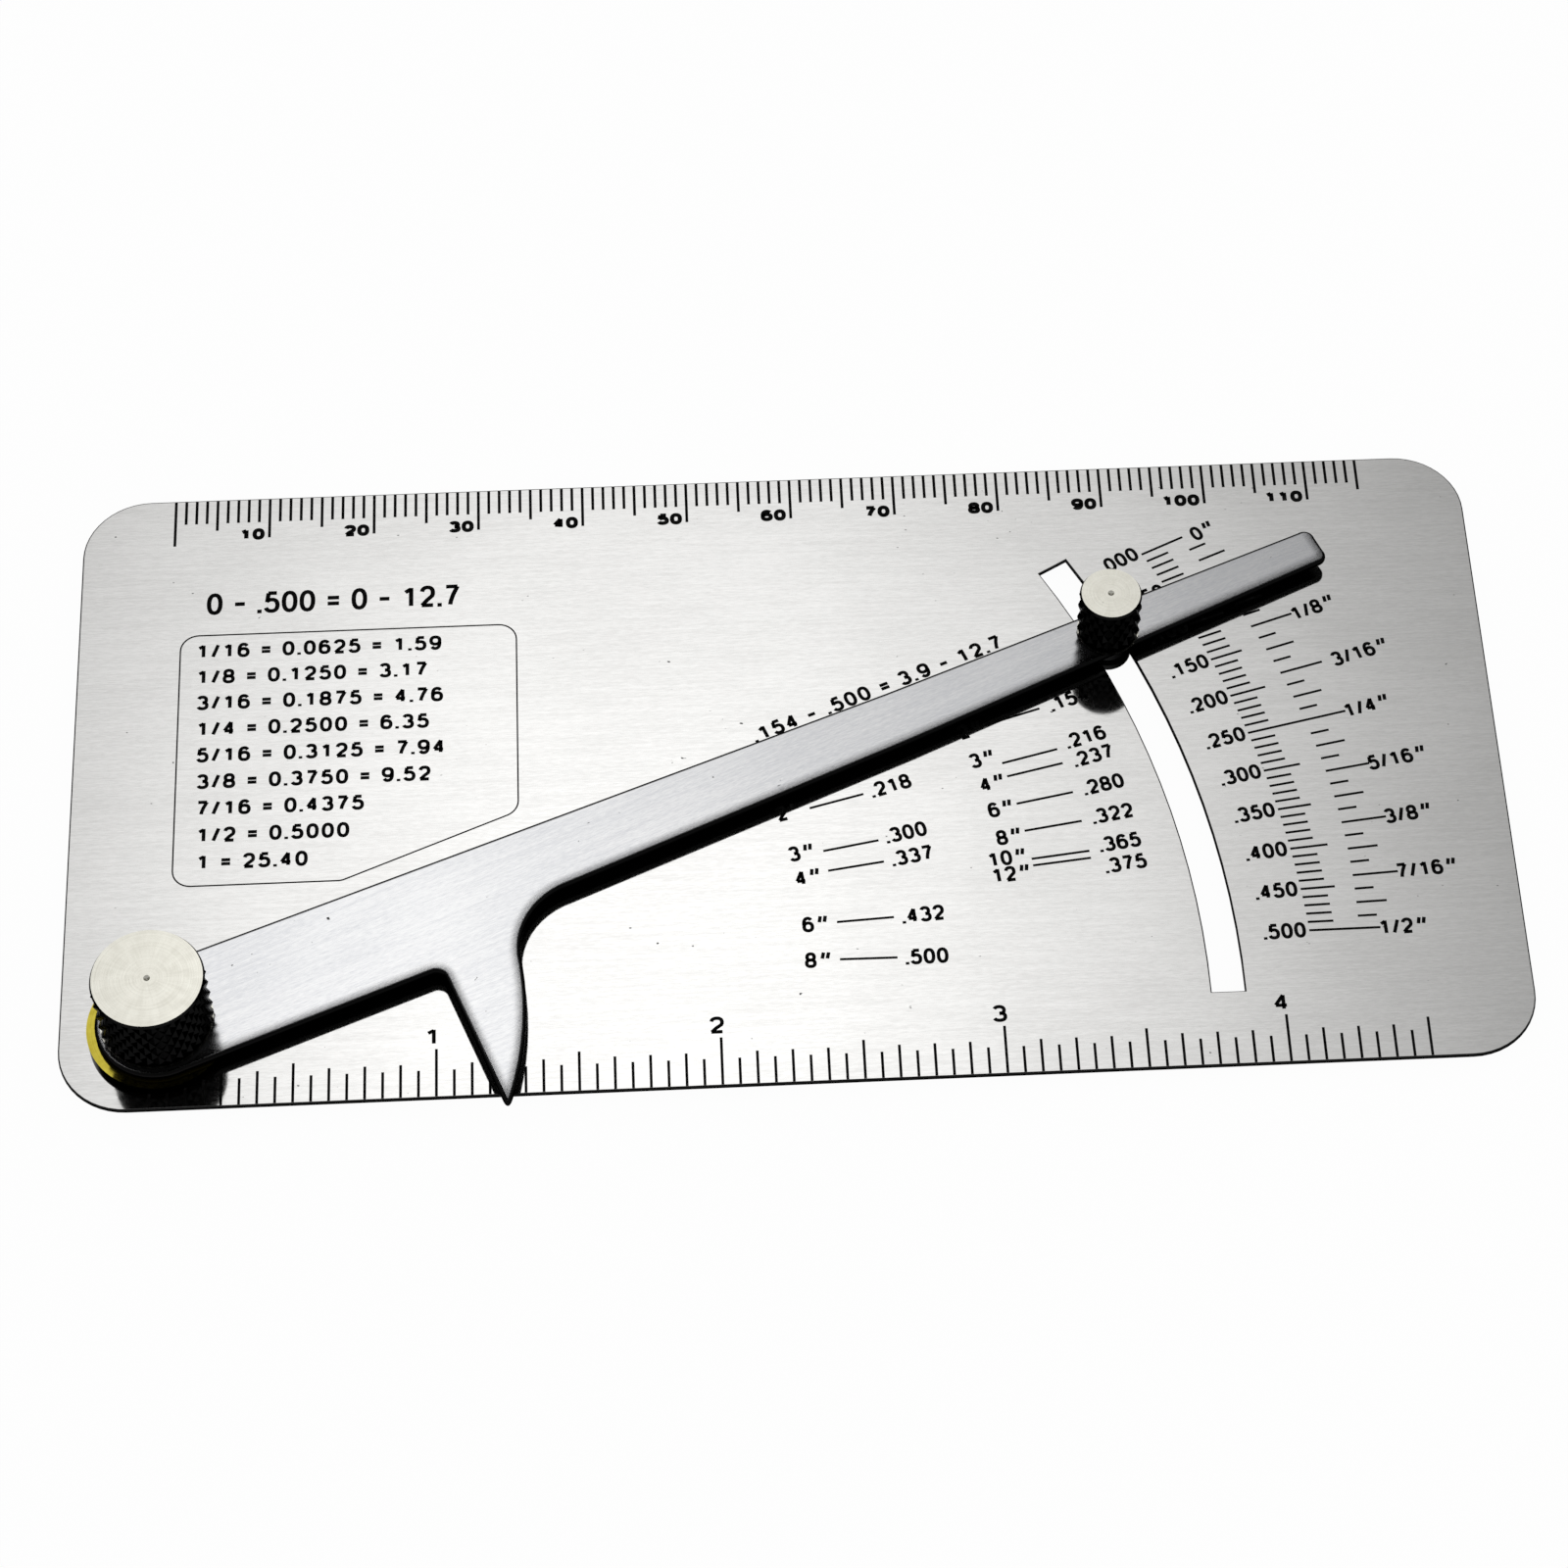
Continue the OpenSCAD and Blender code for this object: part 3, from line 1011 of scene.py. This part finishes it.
@dataclass
class RoundedPiece:
    """A flat cut piece with its sharp edges broken, built from its CAD node."""

    node: str
    body: str
    slot: str
    edge_radius: float
    edge_steps: int
    point_radius: float = 0.0
    spike_radius: float = 0.0
    corner_degrees: float = 50.0
    spike_degrees: float = 110.0
    level_degrees: float = 0.5

    JOIN_DISTANCE = 1e-6
    UPRIGHT_BELOW = 0.1
    FLAT_ABOVE = 0.9999

    def corners(self, shape: bmesh.types.BMesh, upright: bool, sharper: float) -> list[bmesh.types.BMEdge]:
        """Finds the piece's sharp edges.

        Args:
            shape: the piece.
            upright: whether the edges through the thickness are wanted, or those round both faces.
            sharper: angle that the faces on both sides turn through at least, in degrees.

        Returns:
            The edges.
        """
        return [edge for edge in shape.edges if len(edge.link_faces) == 2
                and edge.calc_face_angle() > math.radians(sharper)
                and upright == all(abs(face.normal.z) < self.UPRIGHT_BELOW for face in edge.link_faces)]

    def build(self, material: bpy.types.Material) -> None:
        """Builds the piece in place of its CAD node.

        Args:
            material: its finish.
        """
        shape = bmesh.new()
        shape.from_mesh(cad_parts[self.node].data)
        bmesh.ops.remove_doubles(shape, verts=shape.verts, dist=self.JOIN_DISTANCE)
        bmesh.ops.dissolve_limit(shape, angle_limit=math.radians(self.level_degrees), verts=shape.verts,
                                 edges=shape.edges)
        rounds = ((True, self.spike_degrees, self.spike_radius),
                  (True, self.corner_degrees, self.point_radius),
                  (False, self.corner_degrees, self.edge_radius))
        for upright, sharper, radius in rounds:
            edges = self.corners(shape, upright, sharper)
            if radius and edges:
                bmesh.ops.bevel(shape, geom=edges, offset=radius * MM, segments=self.edge_steps, profile=0.5,
                                affect="EDGES", clamp_overlap=False)
        for face in shape.faces:
            face.smooth = True
        for edge in shape.edges:
            flat = [abs(face.normal.z) > self.FLAT_ABOVE for face in edge.link_faces]
            edge.smooth = all(flat) or not any(flat)
        mesh = bpy.data.meshes.new(f"rounded_{self.node}")
        shape.to_mesh(mesh)
        shape.free()
        piece = add_piece(mesh, material)
        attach(piece, self.body)
        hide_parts(self.node)
        LOG.info("built %s", piece.name)


@dataclass
class Plate:
    """The ruled plate with its print."""

    # The edge colour is painted shade on the cut sides and rims, and also the colour of specks.
    steel: BrushedSteel = BrushedSteel(
        "plate_brushed_steel", pale=(0.915, 0.91, 0.896), deep=(0.76, 0.755, 0.741),
        edge=(0.012, 0.012, 0.012), smooth=0.07, rough=0.09, lay=Lay.ALONG_RULE)
    ink: Ink = Ink("black_print", dark=(0.002, 0.002, 0.002), worn=(0.012, 0.012, 0.012))
    heavy_fan: SizeFan = field(default_factory=lambda: SizeFan(
        start_r=62.3, length=5.2, zero_angle=31.2, degrees_per_inch=54.3, drift=5.0, size_gap=0.9,
        thickness_gap=0.7, rows=(
            SizeRow("2", 0.218, 0.2, 0.1), SizeRow("3", 0.300, 0.3, 0.25), SizeRow("4", 0.337, -0.3, 0.1),
            SizeRow("6", 0.432), SizeRow("8", 0.500))))
    plain_fan: SizeFan = field(default_factory=lambda: SizeFan(
        start_r=80.8, length=5.4, zero_angle=29.0, degrees_per_inch=51.4, drift=4.4, rows=(
            SizeRow("2", 0.154), SizeRow("3", 0.216, 1.0, 0.5), SizeRow("4", 0.237, -0.3, 0.0),
            SizeRow("6", 0.280, -0.15, 0.15), SizeRow("8", 0.322, -0.3, 0.2), SizeRow("10", 0.365, 0.5, 0.45),
            SizeRow("12", 0.375, -0.55, -1.1))))
    fans_range: str = ".154 - .500 = 3.9 - 12.7"
    fans_range_at: tuple[float, float] = (66.0, 34.0)
    fans_range_turn: float = 22.3
    depth_range: str = "0 - .500 = 0 - 12.7"
    depth_range_at: tuple[float, float] = (14.9, 46.5)

    def build(self) -> None:
        """Dresses the plate and prints its scales, tables and panel."""
        RoundedPiece("gauge_plate", "plate", "plate_steel", edge_radius=0.14,
                     edge_steps=4).build(self.steel.build())
        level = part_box("gauge_plate")[1].z / MM
        ink = self.ink.build()
        EdgeRules().draw(level, ink)
        DepthScale().draw(level, ink)
        tables = InkSheet("size_tables", level)
        self.heavy_fan.draw(tables)
        self.plain_fan.draw(tables)
        tables.number(self.fans_range, Vector(self.fans_range_at), Style.TABLE, self.fans_range_turn)
        tables.build(ink)
        LOG.info("printed the size tables")
        panel = InkSheet("number_panel", level)
        panel.number(self.depth_range, Vector(self.depth_range_at), Style.RANGE)
        NumberPanel().draw(panel)
        panel.build(ink)
        LOG.info("printed the number panel")


@dataclass
class PointerArm:
    """The pointer arm, with its edges broken and its points blunted as on the real one."""

    # The edge colour is painted shade on the cut sides, the rims and towards the far end, and also the colour
    # of specks.
    steel: BrushedSteel = BrushedSteel(
        "arm_brushed_steel", pale=(1.0, 1.0, 1.0), deep=(0.82, 0.83, 0.86),
        edge=(0.006, 0.006, 0.006), smooth=0.14, rough=0.17, lay=Lay.ALONG_ARM,
        fade_from=-5.0, fade_to=75.0, fade=0.3, worn_reach=1.4)

    def build(self) -> None:
        """Builds the arm."""
        RoundedPiece("pointer_arm", "arm", "arm_steel", edge_radius=0.36, edge_steps=8, point_radius=0.6,
                     spike_radius=1.2).build(self.steel.build())


@dataclass
class Nuts:
    """The knurled nuts, the screws under them and the washers between plate and arm."""

    # Each side colour is painted shade on the steep faces, and also the colour of specks.
    nut: TurnedSteel = TurnedSteel("turned_steel", pale=(0.98, 0.965, 0.87), deep=(0.9, 0.88, 0.78),
                                   side=(0.006, 0.006, 0.006), roughness=0.16)
    screw: TurnedSteel = TurnedSteel("turned_steel", pale=(0.1, 0.1, 0.1), deep=(0.07, 0.07, 0.07),
                                     side=(0.02, 0.02, 0.02), roughness=0.3)
    brass: TurnedSteel = TurnedSteel("turned_brass", pale=(0.72, 0.61, 0.09), deep=(0.52, 0.42, 0.04),
                                     side=(0.012, 0.008, 0.002), roughness=0.1)

    def middle(self, node: str) -> Colour:
        """Returns a node's axis point on the ground plane, in metres."""
        low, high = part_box(node)
        return ((low.x + high.x) / 2, (low.y + high.y) / 2, 0.0)

    def build(self) -> None:
        """Dresses every turned piece about its own axis."""
        finishes = {"pivot_knob": self.nut, "lock_knob": self.nut, "pivot_screw": self.screw,
                    "lock_screw": self.screw, "lock_spacer": self.screw, "brass_washer": self.brass}
        for node, finish in finishes.items():
            own = replace(finish, name=f"{node}_{finish.name}", centre=self.middle(node))
            dress(node, own.build())


@dataclass
class Studio:
    """Pale floor, soft overhead light and the camera."""

    floor_size: float = 6.0
    floor_tint: Colour = (0.9, 0.9, 0.9)
    light_x: float = -0.02
    light_y: float = 0.5
    light_spread: float = 0.17
    bright: float = 1.25
    ring: float = 0.15
    rest: float = 0.7
    rest_near: float = 0.2
    rest_far: float = 0.42
    dark_y: float = -0.5
    dark_width: float = 0.6
    dark_depth: float = 0.42
    dark_share: float = 0.3
    shadow_share: float = 0.03
    eye: Colour = (0.050042, -0.206161, 0.357401)
    right: Colour = (0.9984164, -0.0546867, 0.0131924)
    up: Colour = (0.0387702, 0.8388236, 0.5430210)
    focal_px: float = 4664.885
    centre_px: tuple[float, float] = (915.991, 798.028)
    image_px: float = 1600.0
    sensor_mm: float = 36.0
    nearest: float = 0.01
    farthest: float = 20.0

    def floor(self) -> None:
        """Lays the floor under the gauge."""
        half = self.floor_size / 2
        mesh = bpy.data.meshes.new("floor")
        mesh.from_pydata([(-half, -half, 0), (half, -half, 0), (half, half, 0), (-half, half, 0)], [],
                         [(0, 1, 2, 3)])
        material = bpy.data.materials.new("pale_floor")
        material.use_nodes = True
        material.node_tree.nodes.clear()
        shader = Shader(material.node_tree)
        matt = shader.feed(shader.add("ShaderNodeBsdfDiffuse"), Color=(*self.floor_tint, 1.0))
        glow = shader.feed(shader.add("ShaderNodeEmission"), Color=(1.0, 1.0, 1.0, 1.0), Strength=1.0)
        path = shader.add("ShaderNodeLightPath")
        seen = shader.maths("MAXIMUM", path.outputs["Is Camera Ray"], path.outputs["Is Glossy Ray"])
        seen = shader.maths("MULTIPLY", seen, 1.0 - self.shadow_share)
        shader.feed(shader.add("ShaderNodeOutputMaterial"), Surface=shader.mix(seen, matt, glow))
        piece = add_piece(mesh, material)

    def sky(self) -> None:
        """Surrounds the gauge with a soft light in a dim ring, and a pale room that darkens by the camera."""
        world = bpy.data.worlds.new("studio")
        world.use_nodes = True
        world.node_tree.nodes.clear()
        shader = Shader(world.node_tree)
        x, y, _ = shader.split(shader.add("ShaderNodeTexCoord").outputs["Generated"])
        aside = shader.maths("SUBTRACT", x, self.light_x)
        ahead = shader.maths("SUBTRACT", y, self.light_y)
        away = shader.squares(aside, ahead)
        core = shader.maths("EXPONENT", shader.maths("MULTIPLY", away, -1.0 / self.light_spread ** 2))
        room = shader.spread(away, self.rest_near ** 2, self.rest_far ** 2, self.ring, self.rest)
        across = shader.maths("DIVIDE", x, self.dark_width)
        along = shader.maths("DIVIDE", shader.maths("SUBTRACT", y, self.dark_y), self.dark_depth)
        near = shader.squares(across, along)
        nearness = shader.maths("EXPONENT", shader.maths("MULTIPLY", near, -1.0))
        shade = shader.maths("MULTIPLY", nearness, -self.dark_share)
        room = shader.maths("MULTIPLY", room, shader.maths("ADD", shade, 1.0))
        level = shader.maths("ADD", room, shader.maths("MULTIPLY", core, self.bright - self.ring))
        light = shader.feed(shader.add("ShaderNodeBackground"), Color=(1.0, 1.0, 1.0, 1.0), Strength=level)
        white = shader.feed(shader.add("ShaderNodeBackground"), Color=(1.0, 1.0, 1.0, 1.0), Strength=1.0)
        seen = shader.add("ShaderNodeLightPath").outputs["Is Camera Ray"]
        shader.feed(shader.add("ShaderNodeOutputWorld"), Surface=shader.mix(seen, light, white))
        bpy.context.scene.world = world

    def camera(self) -> None:
        """Sets the camera at the photograph's place and angle."""
        data = bpy.data.cameras.new("camera")
        data.sensor_width = self.sensor_mm
        data.lens = self.focal_px * self.sensor_mm / self.image_px
        data.shift_x = (self.image_px / 2 - self.centre_px[0]) / self.image_px
        data.shift_y = (self.centre_px[1] - self.image_px / 2) / self.image_px
        data.clip_start = self.nearest
        data.clip_end = self.farthest
        right, up = Vector(self.right), Vector(self.up)
        axes = Matrix((right, up, right.cross(up))).transposed().to_4x4()
        eye = bpy.data.objects.new("camera", data)
        eye.matrix_world = Matrix.Translation(self.eye) @ axes
        bpy.context.scene.collection.objects.link(eye)
        bpy.context.scene.camera = eye

    def build(self) -> None:
        """Sets up floor, light and camera."""
        self.floor()
        self.sky()
        self.camera()
        bpy.context.scene.view_settings.view_transform = "Standard"
        LOG.info("set up the studio")


def main() -> None:
    logging.basicConfig(level=logging.INFO, format="%(name)s: %(message)s")
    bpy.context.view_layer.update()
    Studio().build()
    Plate().build()
    PointerArm().build()
    Nuts().build()


if __name__ == "__main__":
    main()
